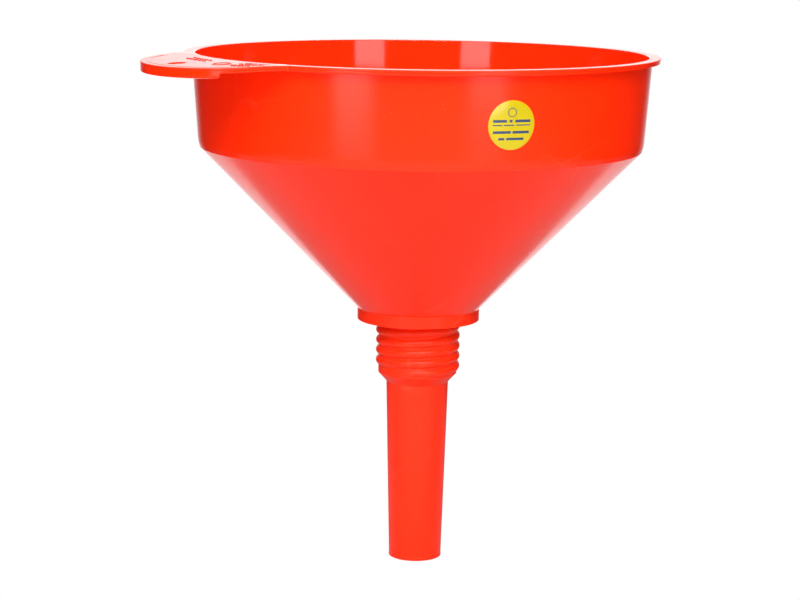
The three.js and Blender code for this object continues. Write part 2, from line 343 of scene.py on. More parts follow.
PLASTIC = moulded_plastic("moulded_polyethylene", 0.17, 0.21, 0.06, 1.29)
PLASTIC_SATIN = moulded_plastic("moulded_polyethylene_satin", 0.33, 0.42, 0.02, 1.29)
PLASTIC_POLISHED = moulded_plastic("moulded_polyethylene_core_side", 0.06, 0.09, 0.05, 1.42)
RUBBER = rubber("nitrile_rubber")
BRASS = brass("rolled_brass", (0.83, 0.60, 0.26), (0.62, 0.42, 0.17), 0.22, 0.42, 900)
BRASS_WIRE = brass("brass_wire", (0.78, 0.56, 0.25), (0.55, 0.37, 0.15), 0.28, 0.45, 2200)
FILM = label_film("label_film")
INK = printing_ink("ink_blue", (0.010, 0.030, 0.075), (0.018, 0.045, 0.10))


# ------------------------------------------------------------------ mesh tools

def add_object(name, data):
    item = bpy.data.objects.new(name, data)
    bpy.context.scene.collection.objects.link(item)
    return item


def build_mesh(name, points, faces, merge):
    """A mesh from points in millimetres, its faces turned outwards; merge joins doubled points."""
    mesh = bpy.data.meshes.new(name)
    mesh.from_pydata([(x * MM, y * MM, z * MM) for x, y, z in points], [], faces)
    work = bmesh.new()
    work.from_mesh(mesh)
    if merge:
        bmesh.ops.remove_doubles(work, verts=work.verts, dist=2e-6)
        bmesh.ops.dissolve_degenerate(work, edges=work.edges, dist=1e-7)
    bmesh.ops.recalc_face_normals(work, faces=work.faces)
    work.to_mesh(mesh)
    work.free()
    return mesh


def new_piece(name, points, faces, material, body, slot, node=None, smooth_angle=SMOOTH_ANGLE):
    """A mesh object, shaded and tied to its body, and to the node it stands for; slot is not used."""
    piece = add_object(name, build_mesh(name, points, faces, merge=True))
    piece.data.materials.append(material)
    shade(piece, smooth_angle)
    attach(piece, body)
    if node:
        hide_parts(node)
    return piece


def shade(piece, smooth_angle):
    piece.data.shade_smooth()
    piece.data.set_sharp_from_angle(angle=math.radians(smooth_angle))


def ring_faces(columns, rows, close_rows):
    """Quads of a grid whose columns go once round; close_rows joins the last row to the first."""
    faces = []
    for row in range(rows if close_rows else rows - 1):
        lower, upper = row * columns, ((row + 1) % rows) * columns
        for i in range(columns):
            j = (i + 1) % columns
            faces.append((lower + i, lower + j, upper + j, upper + i))
    return faces


def fillet(corners):
    """Rounds the corners (x, y, radius) of a closed outline. Each arc gets a guard point on both
    sides, so that the flats beside it stay flat when shaded smooth."""
    steps, guard = 5, 0.35
    most, most_guard = 0.42, 0.1         # shares of the side that an arc and a guard may take
    result = []
    count = len(corners)
    for i, (x, y, radius) in enumerate(corners):
        here = Vector((x, y))
        back = Vector(corners[i - 1][:2]) - here
        ahead = Vector(corners[(i + 1) % count][:2]) - here
        angle = back.angle(ahead)
        if radius <= 0 or angle > math.radians(179):
            result.append((x, y))
            continue
        reach = min(radius / math.tan(angle / 2), most * back.length, most * ahead.length)
        true_radius = reach * math.tan(angle / 2)
        b, a = back.normalized(), ahead.normalized()
        centre = here + (a + b).normalized() * (true_radius / math.sin(angle / 2))
        start, end = here + b * reach, here + a * reach
        result.append(tuple(start + b * min(guard * reach, most_guard * back.length)))
        swing = (start - centre).angle_signed(end - centre)
        for k in range(steps + 1):
            turn = Matrix.Rotation(-swing * k / steps, 2)
            result.append(tuple(centre + turn @ (start - centre)))
        result.append(tuple(end + a * min(guard * reach, most_guard * ahead.length)))
    return result


def turns(start, end, steps):
    """Even angles from start to end, both of them included."""
    return [start + (end - start) * k / steps for k in range(steps + 1)]


def revolve(outline, columns):
    """Points and faces of a closed (radius, height) outline turned about Z."""
    points = []
    for r, z in outline:
        for angle in turns(0, TAU, columns)[:-1]:
            points.append((r * math.cos(angle), r * math.sin(angle), z))
    return points, ring_faces(columns, len(outline), True)


def tube(path, radius, sides):
    """Points and faces of a round bar along a path; radius is one number or one for each point."""
    path = [Vector(p) for p in path]
    tangents = []
    for i, here in enumerate(path):
        ahead, back = path[min(i + 1, len(path) - 1)], path[max(i - 1, 0)]
        tangents.append((ahead - back).normalized())
    side = tangents[0].orthogonal().normalized()
    points = []
    for i, (here, tangent) in enumerate(zip(path, tangents)):
        side = (side - tangent * side.dot(tangent)).normalized()
        up = tangent.cross(side)
        size = radius[i] if isinstance(radius, list) else radius
        for angle in turns(0, TAU, sides)[:-1]:
            points.append(tuple(here + (side * math.cos(angle) + up * math.sin(angle)) * size))
    faces = ring_faces(sides, len(path), False)
    faces.append(tuple(range(sides)))
    faces.append(tuple(range((len(path) - 1) * sides, len(path) * sides)))
    return points, faces


def join_parts(parts):
    """One list of points and faces from several."""
    points, faces = [], []
    for part_points, part_faces in parts:
        start = len(points)
        points += part_points
        faces += [tuple(start + i for i in face) for face in part_faces]
    return points, faces


def smooth_step(x):
    x = min(max(x, 0.0), 1.0)
    return x * x * (3 - 2 * x)


# ------------------------------------------------------------------ thread

def thread_radius(angle, z, core, tube_radius, bottom, top):
    """The radius of a core with a helical ridge (or groove) of round section at this place."""
    centre = THREAD_Z_AT_ZERO + PITCH * angle / TAU
    offset = (z - centre + PITCH / 2) % PITCH - PITCH / 2
    ridge_z = z - offset
    turns_to_end = min(ridge_z - bottom, top - ridge_z) / PITCH
    if abs(offset) >= tube_radius or turns_to_end < -THREAD_FADE_TURNS:
        return core
    sink = THREAD_SINK * (1 - smooth_step(turns_to_end / THREAD_FADE_TURNS))
    ridge = THREAD_HELIX_RADIUS - sink + math.sqrt(tube_radius ** 2 - offset ** 2)
    overlap = max(THREAD_BLEND - abs(ridge - core), 0) / THREAD_BLEND
    return max(ridge, core) + overlap * overlap * THREAD_BLEND / 4


# ------------------------------------------------------------------ bowl

def wall_radius(z):
    return WALL_RADIUS_AT_RIM - WALL_DRAFT * (RIM_TOP - z)


CONE_RUN = SHOULDER[0] - COLLAR_RADIUS
CONE_RISE = SHOULDER[1] - CONE_BASE_Z
CONE_LENGTH = math.hypot(CONE_RUN, CONE_RISE)
INNER_SHOULDER = (
    SHOULDER[0] - CONE_THICKNESS * CONE_RISE / CONE_LENGTH,
    SHOULDER[1] + CONE_THICKNESS * CONE_RUN / CONE_LENGTH,
)


def cone_inner_radius(z):
    return INNER_SHOULDER[0] - (INNER_SHOULDER[1] - z) * CONE_RUN / CONE_RISE


class Outline:
    """The plan of the rim and the tab: points with outward normals, in order round the axis.
    The tab points along +X here and is turned to -X when the mesh is made."""

    def __init__(self):
        tip_centre = TAB_TIP_X - TAB_TIP_RADIUS
        swing = TAB_TIP_RADIUS - TAB_CORNER_RADIUS
        tip_half = math.asin(TAB_CORNER_Y / swing)
        corner = Vector((tip_centre + swing * math.cos(tip_half), TAB_CORNER_Y))
        root = RIM_RADIUS * Vector((math.cos(TAB_ROOT_ANGLE), math.sin(TAB_ROOT_ANGLE)))
        # the flank leaves the rim at its root and touches the corner's arc
        to_corner = corner - root
        flank_turn = math.atan2(to_corner.y, to_corner.x) + math.asin(TAB_CORNER_RADIUS / to_corner.length)
        along = Vector((math.cos(flank_turn), math.sin(flank_turn)))
        normal = Vector((-along.y, along.x))
        level = root.dot(normal) + TAB_ROOT_FILLET
        reach = RIM_RADIUS + TAB_ROOT_FILLET
        centre = normal * level + along * math.sqrt(reach ** 2 - level ** 2)
        rim_end = math.atan2(centre.y, centre.x)
        flank_angle = flank_turn + math.pi / 2

        # from the tip's middle round to the rim's far side, on the +Y side
        half = self.arc(Vector((tip_centre, 0)), TAB_TIP_RADIUS, turns(0, tip_half, 24)[:-1])
        half += self.arc(corner, TAB_CORNER_RADIUS, turns(tip_half, flank_angle, 60)[:-1])
        flank_start = corner + normal * TAB_CORNER_RADIUS
        flank_end = centre - normal * TAB_ROOT_FILLET
        steps = 12
        half += [(flank_start.lerp(flank_end, k / steps), normal) for k in range(1, steps)]
        half += self.arc(centre, -TAB_ROOT_FILLET, turns(flank_angle, rim_end, 10))
        half += self.arc(Vector((0, 0)), RIM_RADIUS, turns(rim_end, math.pi, 118)[1:])
        mirrored = [(Vector((p.x, -p.y)), Vector((n.x, -n.y))) for p, n in half[1:-1]]
        self.places = half + mirrored[::-1]
        skirt_end = corner + TAB_CORNER_RADIUS * Vector((math.cos(SKIRT_SPREAD), math.sin(SKIRT_SPREAD)))
        self.skirt_angle = math.atan2(skirt_end.y, skirt_end.x)
        self.border_angle = math.atan2(flank_start.y, flank_start.x)

    @staticmethod
    def arc(centre, radius, angles):
        """Points and normals round a centre; a negative radius makes a hollow corner, whose
        normals point to its centre."""
        normals = [Vector((math.cos(angle), math.sin(angle))) for angle in angles]
        return [(centre + normal * radius, normal) for normal in normals]


OUTLINE = Outline()


def tab_share(point):
    """1 on the tab, 0 on the plain rim, with a short passage between."""
    reach = point.length - RIM_RADIUS
    return smooth_step((reach - 0.5) / 4) if point.x > 0 else 0.0


def droop(x):
    """How much lower the tab is at this x than the rim; the bend is softened over a few mm."""
    past = -x - TAB_DROOP_START
    return TAB_DROOP_SLOPE * (math.hypot(past, 2.0) + past - 0.6) / 2 if past > -3 else 0.0


def skirt_drop(point):
    """How far the skirt hangs below the plate at this point of the outline."""
    full = SKIRT_DEPTH - FLANGE_THICKNESS
    past_end = OUTLINE.skirt_angle - abs(math.atan2(point.y, point.x))
    run = past_end * point.length
    if run < 0 or point.x < 0:
        return 0.0
    if run < SKIRT_END_ROUND:
        return full - SKIRT_END_ROUND * (1 - math.sqrt(max(0.0, 1 - (1 - run / SKIRT_END_ROUND) ** 2)))
    return full


def inside_profile():
    """(radius, height) of the bowl's inner faces, from the rim's inner edge down to the lip."""
    top_inner = WALL_RADIUS_AT_RIM - WALL_THICKNESS
    corners = [
        (top_inner + 2.0, RIM_TOP, 0),
        (top_inner, RIM_TOP, 0.45),
        (wall_radius(SHOULDER_TOP) - WALL_THICKNESS, SHOULDER_TOP, 8.0),
        (INNER_SHOULDER[0], INNER_SHOULDER[1], 3.0),
        (cone_inner_radius(FLOOR_EDGE_Z), FLOOR_EDGE_Z, 0.8),
        (OUTLET_RADIUS, FLOOR_INNER_Z, 0.6),
        (OUTLET_RADIUS, LIP_UNDERSIDE, 0.3),
        (SLEEVE_BORE, LIP_UNDERSIDE, 0),
    ]
    return fillet(corners)[1:-1]


def outside_profile():
    """(radius, height) of the outer faces, from the sleeve's foot up to the flange's root."""
    collar_inner = COLLAR_RADIUS - COLLAR_THICKNESS
    corners = [
        (SLEEVE_BORE, 0.0, 0),
        (SLEEVE_OUTER, 0.0, 0.3),
        (SLEEVE_OUTER, COLLAR_HOLLOW_TOP, 0.4),
        (collar_inner, COLLAR_HOLLOW_TOP, 0.4),
        (collar_inner, 0.0, 0.25),
        (COLLAR_RADIUS, 0.0, 0.35),
        (COLLAR_RADIUS, CONE_BASE_Z + 0.15, 0.35),
        (SHOULDER[0], SHOULDER[1], 0.6),
        (SHOULDER_BEND[0], SHOULDER_BEND[1], 3.0),
        (wall_radius(SHOULDER_TOP), SHOULDER_TOP, 6.0),
        (wall_radius(FLANGE_UNDER), FLANGE_UNDER, 0.5),
        (wall_radius(FLANGE_UNDER) + 2.0, FLANGE_UNDER, 0),
    ]
    return fillet(corners)[1:-1]


def edge_profile(point):
    """(inset from the outline, height) of the flange's or tab's edge, from below to the top.
    Every column has the same number of points; what a column lacks has no size there."""
    drop = skirt_drop(point)
    tab = tab_share(point)
    step = RIM_STEP + (TAB_STEP - RIM_STEP) * tab
    past_border = abs(math.atan2(point.y, point.x)) - OUTLINE.border_angle
    raised = BORDER_HEIGHT * tab * (1 - smooth_step(past_border / 0.02))
    under = FLANGE_UNDER
    foot = under - drop
    soft = 0.35 if drop > 0.5 else 0.0
    border = BORDER_INSET + BORDER_WIDTH
    return [
        (SKIRT_THICKNESS + 0.8, under),
        (SKIRT_THICKNESS + 0.3, under),
        (SKIRT_THICKNESS, under - min(0.3, drop)),
        (SKIRT_THICKNESS - 0.05, foot + soft),
        (SKIRT_THICKNESS - 0.05 - soft * 0.3, foot + soft * 0.3),
        (SKIRT_THICKNESS - 0.05 - soft, foot),
        (step + 0.1 + soft, foot),
        (step + 0.03 + soft * 0.3, foot + 0.03 + soft * 0.3),
        (step, foot + 0.1 + soft),
        (step, under + 0.1),
        (step, PARTING_Z - 0.1),
        (step, PARTING_Z),
        (0.03, PARTING_Z + 0.01),
        (0.0, PARTING_Z + 0.06),
        (0.0, RIM_TOP - 0.42),
        (0.0, RIM_TOP - 0.34),
        (0.045, RIM_TOP - 0.17),
        (0.17, RIM_TOP - 0.045),
        (0.34, RIM_TOP),
        (0.5, RIM_TOP),
        (BORDER_INSET - 0.12, RIM_TOP),
        (BORDER_INSET, RIM_TOP),
        (BORDER_INSET + 0.1, RIM_TOP + raised * 0.8),
        (BORDER_INSET + 0.25, RIM_TOP + raised),
        (border - 0.25, RIM_TOP + raised),
        (border - 0.1, RIM_TOP + raised * 0.8),
        (border, RIM_TOP),
        (border + 0.12, RIM_TOP),
    ]


def bowl_columns():
    """The bowl's points, one closed loop of them for each place on the outline."""
    inside, outside = inside_profile(), outside_profile()
    bore_steps = 30
    bore_heights = [LIP_UNDERSIDE * (1 - k / bore_steps) for k in range(bore_steps + 1)]
    groove = THREAD_TUBE + THREAD_CLEARANCE
    columns = []
    for point, normal in OUTLINE.places:
        plan_angle = math.atan2(point.y, point.x)
        angle = plan_angle + math.pi
        around = Vector((math.cos(angle), math.sin(angle)))
        column = [(r * around.x, r * around.y, z) for r, z in outside]
        for inset, z in edge_profile(point):
            place = normal * inset - point
            column.append((place.x, place.y, z - droop(place.x)))
        column += [(r * around.x, r * around.y, z) for r, z in inside]
        for z in bore_heights:
            r = thread_radius(angle, z, SLEEVE_BORE, groove, -math.inf, LIP_UNDERSIDE - groove)
            column.append((r * around.x, r * around.y, z))
        columns.append(column)
    return columns


def drill_hang_hole(piece):
    """Cuts the hang hole, with a small chamfer at both faces."""
    flare, reach, axis = 0.35, 1.0, 0.0001
    outline = [
        (axis, FLANGE_UNDER - reach), (HANG_HOLE_RADIUS + flare + reach, FLANGE_UNDER - reach),
        (HANG_HOLE_RADIUS, FLANGE_UNDER + flare), (HANG_HOLE_RADIUS, RIM_TOP - flare),
        (HANG_HOLE_RADIUS + flare + reach, RIM_TOP + reach), (axis, RIM_TOP + reach),
    ]
    points, faces = revolve(outline, 48)
    points = [(x - HANG_HOLE_X, y, z - droop(x - HANG_HOLE_X)) for x, y, z in points]
    cutter = add_object("hang_hole_cutter", build_mesh("hang_hole_cutter", points, faces, merge=False))
    cut = piece.modifiers.new("hang_hole", "BOOLEAN")
    cut.operation, cut.solver, cut.object = "DIFFERENCE", "EXACT", cutter
    bpy.context.view_layer.update()
    evaluated = piece.evaluated_get(bpy.context.evaluated_depsgraph_get())
    result = bpy.data.meshes.new_from_object(evaluated)
    piece.modifiers.clear()
    piece.data = result
    bpy.data.objects.remove(cutter)
    shade(piece, SMOOTH_ANGLE)


def make_bowl():
    columns = bowl_columns()
    rows = len(columns[0])
    points = [column[row] for row in range(rows) for column in columns]
    faces = ring_faces(len(columns), rows, True)
    bowl = new_piece("funnel_bowl", points, faces, PLASTIC, "bowl", "funnel_plastic", "bowl")
    bowl.data.materials.append(PLASTIC_POLISHED)
    bowl.data.materials.append(PLASTIC_SATIN)
    polished, satin = 1, 2
    for face in bowl.data.polygons:
        outwards = face.normal.x * face.center.x + face.normal.y * face.center.y
        if outwards < 0 and face.center.z > FLOOR_INNER_Z * MM:
            face.material_index = polished
        elif face.center.z < CONE_BASE_Z * MM:
            face.material_index = satin
    drill_hang_hole(bowl)


# ------------------------------------------------------------------ marks on the tab

def raised_ring(x, y, outer, width, height):
    """A low ring with softened top edges, its middle at x, y."""
    soft = 0.12
    base = RIM_TOP - MARK_ROOT
    top = RIM_TOP + height
    inner = outer - width
    outline = [
        (outer, base), (outer, top - soft), (outer - soft, top),
        (inner + soft, top), (inner, top - soft), (inner, base),
    ]
    points, faces = revolve(outline, 48)
    return [(px + x, py + y, pz) for px, py, pz in points], faces


def raised_bar(x, y, length, width, turn, height):
    """A small raised dash with rounded top edges, its middle at x, y."""
    soft = 0.14
    base = RIM_TOP - MARK_ROOT
    points = []
    for inset, z in ((0, base), (0, RIM_TOP + height - soft), (soft, RIM_TOP + height)):
        hx, hy = length / 2 - inset, width / 2 - inset
        for sx, sy in ((-1, -1), (1, -1), (1, 1), (-1, 1)):
            px, py = sx * hx, sy * hy
            points.append((
                x + px * math.cos(turn) - py * math.sin(turn),
                y + px * math.sin(turn) + py * math.cos(turn),
                z,
            ))
    faces = ring_faces(4, 3, False) + [(0, 1, 2, 3), (8, 9, 10, 11)]
    return points, faces


def make_tab_marks():
    """A plain ring and rows of plain dashes; they stand on the tab's slope."""
    parts = [raised_ring(*MOLD_RING, MOLD_RING_RADIUS, MOLD_RING_WIDTH, MOLD_RING_HEIGHT)]
    small_radii, small_lengths = (121.4, 124.8), (2.0, 2.9, 1.5, 2.5, 1.8)
    for row, radius in enumerate(small_radii):
        for k in range(5):
            degrees = -7.5 + 2.1 * k
            parts.append(dash_on_arc(radius, degrees, small_lengths[(k + row) % 5], 1.1))
    large_radii, large_lengths = (119.6, 124.4, 129.2), (3.0, 1.6, 2.4, 3.2, 2.2)
    for row, radius in enumerate(large_radii):
        for k in range(5 - row):
            degrees = 14.4 + 2.0 * k
            parts.append(dash_on_arc(radius, degrees, large_lengths[(k + row) % 5], 1.5))
    points, faces = join_parts(parts)
    points = [(x, y, min(z - droop(x), RIM_TOP)) for x, y, z in points]
    new_piece("tab_marks", points, faces, PLASTIC, "bowl", "funnel_plastic")


def dash_on_arc(radius, degrees, length, width):
    """A raised dash at this radius, so many degrees round from the tab's middle towards -Y."""
    angle = math.pi + math.radians(degrees)
    x, y = radius * math.cos(angle), radius * math.sin(angle)
    return raised_bar(x, y, length, width, angle + math.pi / 2, MARK_HEIGHT)


# ------------------------------------------------------------------ spout and seal

def make_spout():
    """The threaded neck and the tapered tube."""
    columns = 224
    neck_step = 0.2
    foot = TUBE_TOP[0] + (NECK_BOTTOM - TUBE_TOP[1])     # a 45 degree chamfer down to the tube
    tube_bore = TUBE_TOP[0] - TUBE_THICKNESS
    end_bore = TUBE_END_RADIUS - TUBE_THICKNESS
    lip = 0.12
    # the last corner only closes the outline
    below_neck = fillet([
        (end_bore, SPOUT_END_Z, 0.3),
        (TUBE_END_RADIUS + lip, SPOUT_END_Z, 0.35),
        (TUBE_END_RADIUS + lip, SPOUT_END_Z + 1.3, 0.3),
        (TUBE_END_RADIUS + 0.03, SPOUT_END_Z + 1.6, 0.3),
        (TUBE_TOP[0], TUBE_TOP[1] - 0.4, 1.1),
        (foot, NECK_BOTTOM, 0.3),
        (CORE_RADIUS, NECK_BOTTOM + 0.25, 0.2),
        (CORE_RADIUS, NECK_BOTTOM + 0.8, 0),
        (0, 0, 0),
    ])[:-1]
    rise = SPOUT_TOP_Z - 0.6 - below_neck[-1][1]
    neck_rows = int(rise / neck_step)
    neck = [below_neck[-1][1] + rise * k / neck_rows for k in range(1, neck_rows + 1)]
    inside = fillet([
        (CORE_RADIUS, SPOUT_TOP_Z - 2, 0),
        (CORE_RADIUS, SPOUT_TOP_Z, 0.5),
        (NECK_BORE, SPOUT_TOP_Z, 0.4),
        (NECK_BORE, NECK_BOTTOM, 2.0),
        (tube_bore, TUBE_TOP[1] - 1, 2.0),
        (end_bore, SPOUT_END_Z + 1.0, 0),
        (end_bore, SPOUT_END_Z + 0.5, 0),
    ])[1:-1]
    rows = [[(r, z)] * columns for r, z in below_neck]
    angles = turns(0, TAU, columns)[:-1]
    for z in neck:
        thread = (z, CORE_RADIUS, THREAD_TUBE, THREAD_BOTTOM, THREAD_TOP)
        rows.append([(thread_radius(angle, *thread), z) for angle in angles])
    rows += [[(r, z)] * columns for r, z in inside]
    points = []
    for row in rows:
        points += [(r * math.cos(angle), r * math.sin(angle), z) for angle, (r, z) in zip(angles, row)]
    faces = ring_faces(columns, len(rows), True)
    new_piece("funnel_spout", points, faces, PLASTIC_SATIN, "spout", "funnel_plastic", "spout")


def make_seal():
    low, high = (v.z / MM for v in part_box("seal_ring"))
    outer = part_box("seal_ring")[1].x / MM
    soft = 0.25
    outline = fillet([
        (outer, low, soft), (outer, high, soft), (NECK_BORE, high, soft), (NECK_BORE, low, soft),
    ])
    points, faces = revolve(outline, 96)
    new_piece("seal_washer", points, faces, RUBBER, "seal", "seal_rubber", "seal_ring")


# ------------------------------------------------------------------ strainer

def make_strainer_rim():
    """A folded channel ring with crimps pressed into its top flange."""
    columns = 192
    web = STRAINER_RADIUS - CHANNEL_SHEET
    flange = STRAINER_RADIUS - CHANNEL_FLANGE
    crimps, crimp_radius, crimp_reach, crimp_depth = 24, web - 1.4, 1.5, 0.22
    top, bottom, sheet = STRAINER_TOP, STRAINER_BOTTOM, CHANNEL_SHEET
    outline = fillet([
        (STRAINER_RADIUS, bottom, 0.7), (STRAINER_RADIUS, top, 0.7),
        (flange, top, 0.25), (flange, top - sheet, 0.25),
        (web, top - sheet, 0.15), (web, bottom + sheet, 0.15),
        (flange, bottom + sheet, 0.25), (flange, bottom, 0.25),
    ])
    points = []
    for r, z in outline:
        for angle in turns(0, TAU, columns)[:-1]:
            press = 0.0
            if z > top - 1.5 * sheet:
                crimp = max(0.0, math.cos(crimps * angle)) ** 6
                across = max(0.0, 1 - abs(r - crimp_radius) / crimp_reach)
                press = crimp_depth * crimp * smooth_step(across)
            points.append((r * math.cos(angle), r * math.sin(angle), z - press))
    faces = ring_faces(columns, len(outline), True)
    new_piece("strainer_ring", points, faces, BRASS, "strainer", "brass_sheet", "strainer_rim")


def make_gauze():
    """Plain-woven wires, each rising over one crossing wire and dipping under the next."""
    radius = STRAINER_RADIUS - CHANNEL_SHEET - 0.5
    middle = (STRAINER_TOP + STRAINER_BOTTOM) / 2
    lift = GAUZE_WIRE * 0.62
    count = int(radius / GAUZE_PITCH)
    parts = []
    for warp in (True, False):
        for k in range(-count, count + 1):
            offset = k * GAUZE_PITCH
            half = math.sqrt(max(radius ** 2 - offset ** 2, 0))
            if half < 2 * GAUZE_PITCH:
                continue
            steps = int(2 * half / (GAUZE_PITCH / 2))
            path = []
            for s in range(steps + 1):
                along = -half + 2 * half * s / steps
                phase = math.pi * (along / GAUZE_PITCH + k + (0 if warp else 1))
                z = middle + lift * math.cos(phase)
                path.append((along, offset, z) if warp else (offset, along, z))
            parts.append(tube(path, GAUZE_WIRE, 5))
    points, faces = join_parts(parts)
    new_piece(
        "strainer_mesh", points, faces, BRASS_WIRE, "strainer", "brass_gauze", "strainer_gauze",
        smooth_angle=80,
    )


def make_lug(name, side, node):
    """An ear with a hole, on a small foot soldered to the ring."""
    outer_y, inner_y = LUG_INNER_Y + LUG_THICKNESS, LUG_INNER_Y
    soft = 0.15
    outline = [(LUG_HALF_WIDTH, STRAINER_TOP)]
    for angle in turns(0, math.pi, 24):
        outline.append((LUG_HALF_WIDTH * math.cos(angle), BAIL_PIVOT_Z + LUG_HALF_WIDTH * math.sin(angle)))
    outline.append((-LUG_HALF_WIDTH, STRAINER_TOP))
    count = len(outline)
    hole = []
    for x, z in outline:
        ahead = Vector((x, z - BAIL_PIVOT_Z)).normalized()
        hole.append((LUG_HOLE_RADIUS * ahead.x, BAIL_PIVOT_Z + LUG_HOLE_RADIUS * ahead.y))
    middle = Vector((0, BAIL_PIVOT_Z))
    loops = []
    for y, inset in ((inner_y, soft), (inner_y + soft, 0), (outer_y - soft, 0), (outer_y, soft)):
        loops.append([(*(Vector(p) + (middle - Vector(p)).normalized() * inset), y) for p in outline])
    for y, inset in ((outer_y, soft), (outer_y - soft, 0), (inner_y + soft, 0), (inner_y, soft)):
        loops.append([(*(Vector(p) + (Vector(p) - middle).normalized() * inset), y) for p in hole])
    points = [(x, side * y, z) for loop in loops for x, z, y in loop]
    ear = (points, ring_faces(count, len(loops), True))
    foot_low, foot_high, foot_half = STRAINER_TOP - 0.1, STRAINER_TOP + 0.5, LUG_HALF_WIDTH + 0.6
    foot_outline = fillet([
        (LUG_INNER_Y - 0.2, foot_low, 0), (STRAINER_RADIUS - 0.2, foot_low, 0),
        (STRAINER_RADIUS - 0.35, foot_high, 0.25), (LUG_INNER_Y - 0.1, foot_high, 0.25),
    ])
    foot_points = [(x, side * y, z) for x in (-foot_half, foot_half) for y, z in foot_outline]
    n = len(foot_outline)
    foot_faces = [(i, (i + 1) % n, n + (i + 1) % n, n + i) for i in range(n)]
    foot_faces += [tuple(range(n)), tuple(range(n, 2 * n))]
    points, faces = join_parts([ear, (foot_points, foot_faces)])
    new_piece(name, points, faces, BRASS, "strainer", "brass_sheet", node, smooth_angle=40)


def make_bail():
    """A wire half-loop with a peened head on each end, outside its lug."""
    end_y = LUG_INNER_Y + LUG_THICKNESS + 0.85
    bend = 1.4
    # x, y and the thickness as a share of the wire's, from one head to where the arc starts
    half = [(0, end_y, 1.15), (0, end_y - 0.12, 1.3), (0, end_y - 0.45, 1.3), (0, end_y - 0.6, 1.0)]
    half.append((0, BAIL_RADIUS + bend + 0.3, 1.0))
    for angle in turns(0, math.pi / 2, 8):
        half.append((bend - bend * math.cos(angle), BAIL_RADIUS + bend - bend * math.sin(angle), 1.0))
    start = math.asin(bend / BAIL_RADIUS)
    arc = []
    for swing in turns(start, math.pi - start, 72)[1:-1]:
        arc.append((BAIL_RADIUS * math.sin(swing), BAIL_RADIUS * math.cos(swing), 1.0))
    places = half + arc + [(x, -y, size) for x, y, size in half[::-1]]
    path = [(x, y, BAIL_PIVOT_Z - BAIL_DROOP * x / BAIL_RADIUS) for x, y, _ in places]
    sizes = [BAIL_WIRE * size for _, _, size in places]
    points, faces = tube(path, sizes, 16)
    new_piece("bail_wire", points, faces, BRASS_WIRE, "bail", "brass_sheet", "strainer_bail")


# ------------------------------------------------------------------ label

def on_wall(u, v, lift):
    """A point of the label's own plane, u to the right and v up, laid on the wall."""
    z = LABEL_Z + v
    r = wall_radius(z) + lift
    angle = LABEL_ANGLE + u / wall_radius(LABEL_Z)
    return (r * math.cos(angle), r * math.sin(angle), z)


def disc_on_wall(u, v, outer, inner, low, high, columns=64, rings=6):
    """A disc (inner is 0) or a ring, with thickness, wrapped on the wall."""
    soft = min(0.06, (high - low) / 2)
    radii = [outer] + [outer + (inner - outer) * k / rings for k in range(rings + 1)]
    heights = [low, high - soft] + [high] * rings
    if inner > 0:
        radii.append(inner)
        heights.append(low)
    points = []
    for r, h in zip(radii, heights):
        for angle in turns(0, TAU, columns)[:-1]:
            points.append(on_wall(u + r * math.cos(angle), v + r * math.sin(angle), h))
    return points, ring_faces(columns, len(radii), False)


def bar_on_wall(u, v, width, height, low, high):
    """A flat printed bar wrapped on the wall."""
    steps = max(2, int(width))
    points = []
    for lift in (low, high):
        for y in (v - height / 2, v + height / 2):
            for k in range(steps + 1):
                points.append(on_wall(u - width / 2 + width * k / steps, y, lift))
    n = steps + 1
    faces = []
    for k in range(steps):
        faces.append((k, k + 1, n + k + 1, n + k))
        faces.append((2 * n + k, 2 * n + k + 1, 3 * n + k + 1, 3 * n + k))
        faces.append((k, k + 1, 2 * n + k + 1, 2 * n + k))
        faces.append((n + k, n + k + 1, 3 * n + k + 1, 3 * n + k))
    faces.append((0, n, 3 * n, 2 * n))
    faces.append((n - 1, 2 * n - 1, 4 * n - 1, 3 * n - 1))
    return points, faces


def make_label():
    """The sticker's film, and a print of its own: a plain ring and rows of plain bars."""
    film_bottom, film_top = 0.02, 0.30   # above the wall
    film = disc_on_wall(0, 0, LABEL_RADIUS, 0, film_bottom, film_top)
    new_piece("round_label", *film, FILM, "bowl", "label_film", "label", smooth_angle=50)
    ink = (film_top - 0.05, film_top + 0.03)
    ring_height, ring_outer, ring_inner = 5.9, 2.3, 1.8
    parts = [disc_on_wall(0, ring_height, ring_outer, ring_inner, *ink, columns=40, rings=1)]
    rows = (                             # height, thickness, and each bar's left and right ends
        (1.9, 1.25, (-9.3, -2.6, -1.2, 0.2, 1.6, 9.3)),
        (0.0, 0.5, (-9.3, -4.9, -3.9, 1.3, 2.3, 9.3)),
        (-3.3, 1.2, (-9.2, -0.4, 0.5, 8.8)),
        (-6.4, 1.1, (-6.4, -3.4, -2.5, 6.2)),
    )
    for height, thickness, ends in rows:
        for left, right in zip(ends[::2], ends[1::2]):
            parts.append(bar_on_wall((left + right) / 2, height, right - left, thickness, *ink))
    new_piece("label_print", *join_parts(parts), INK, "bowl", "label_film")


# ------------------------------------------------------------------ studio

def place_camera():
    data = bpy.data.cameras.new("camera")
    camera = add_object("camera", data)
    data.lens, data.sensor_width = CAMERA_LENS, 36.0
    data.clip_start, data.clip_end = 0.05, 60
    stand = Matrix.Rotation(CAMERA_TURN, 4, "Z") @ Vector((0, -CAMERA_DISTANCE * MM, CAMERA_HEIGHT * MM))
    turn = Matrix.Rotation(CAMERA_TURN + CAMERA_AIM_LEFT, 4, "Z")
    tilt = Matrix.Rotation(math.pi / 2 - CAMERA_PITCH, 4, "X")
    roll = Matrix.Rotation(CAMERA_ROLL, 4, "Z")
    camera.matrix_world = Matrix.Translation(stand) @ turn @ tilt @ roll
    bpy.context.scene.camera = camera


